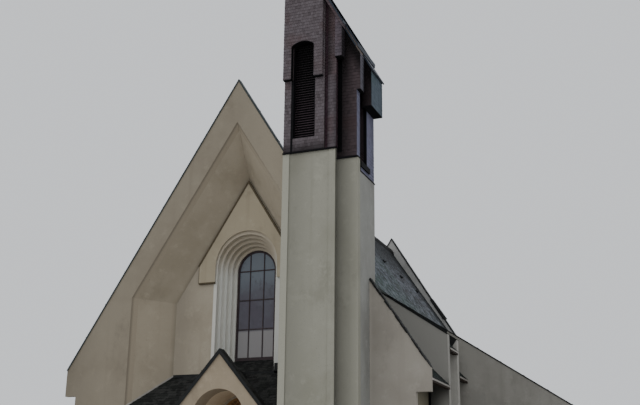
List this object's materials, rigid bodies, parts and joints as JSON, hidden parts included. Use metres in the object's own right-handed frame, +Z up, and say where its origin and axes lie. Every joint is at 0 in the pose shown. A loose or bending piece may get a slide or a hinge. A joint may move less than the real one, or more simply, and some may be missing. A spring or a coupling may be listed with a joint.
{
  "type": "modern church building",
  "caption": "Church with a tall gabled front, splayed window recess, arched porch, side tower with a shingled belfry and a steep slate roof over low wings.",
  "frame": {"origin": "ground level on the axis of the front gable, at the front face of the gable frame", "axes": "+X to the right seen from the front, +Y into the building, +Z up"},
  "size_m": [31.7, 28.38, 28.01],
  "materials": {
    "front_render": "rough render",
    "recess_render": "rough render",
    "panel_render": "smooth render",
    "porch_render": "smooth render",
    "tower_render": "rough render",
    "render": "rough render",
    "slate": "riven slate",
    "lead_roof": "dark slate",
    "shingle": "weathered shingle",
    "dark_metal": "satin",
    "glass": "clear",
    "concrete": "floated",
    "timber": "oiled"
  },
  "bodies": {
    "root": {"floor_slab": "concrete", "front_gable_left": "front_render", "front_gable_right": "front_render", "recess_surround": "recess_render", "nave_front_wall": "recess_render", "window_surround": "panel_render", "window_frame": "dark_metal", "window_glass": "glass", "vestibule_roof": "lead_roof", "window_sill": "slate", "vestibule_walls": "porch_render", "porch": "porch_render", "porch_coping": "lead_roof", "porch_roof": "slate", "entrance_door_left": "timber", "entrance_door_right": "timber", "entrance_fanlight": "timber", "rear_wall": "front_render", "rear_window_glass": "glass", "tower_front_wall": "tower_render", "tower_left_wall": "tower_render", "tower_right_wall": "tower_render", "tower_back_wall": "tower_render", "belfry_front": "shingle", "belfry_left": "shingle", "belfry_right": "shingle", "belfry_back": "shingle", "belfry_front_hood": "shingle", "belfry_side_hood": "shingle", "belfry_roof": "slate", "belfry_louvres": "dark_metal", "nave_roof_right": "slate", "low_roof_front_right": "slate", "low_roof_middle_right": "slate", "low_roof_rear_right": "slate", "aisle_wall_right": "render", "fin_pier_right": "render", "wing_front_wall_right": "render", "wing_roof_right": "slate", "wing_side_wall_right": "render", "wing_windows_right": "glass", "nave_roof_left": "slate", "low_roof_front_left": "slate", "low_roof_middle_left": "slate", "low_roof_rear_left": "slate", "aisle_wall_left": "render", "fin_pier_left": "render", "wing_front_wall_left": "render", "wing_roof_left": "slate", "wing_side_wall_left": "render", "wing_windows_left": "glass"}
  },
  "joints": []
}
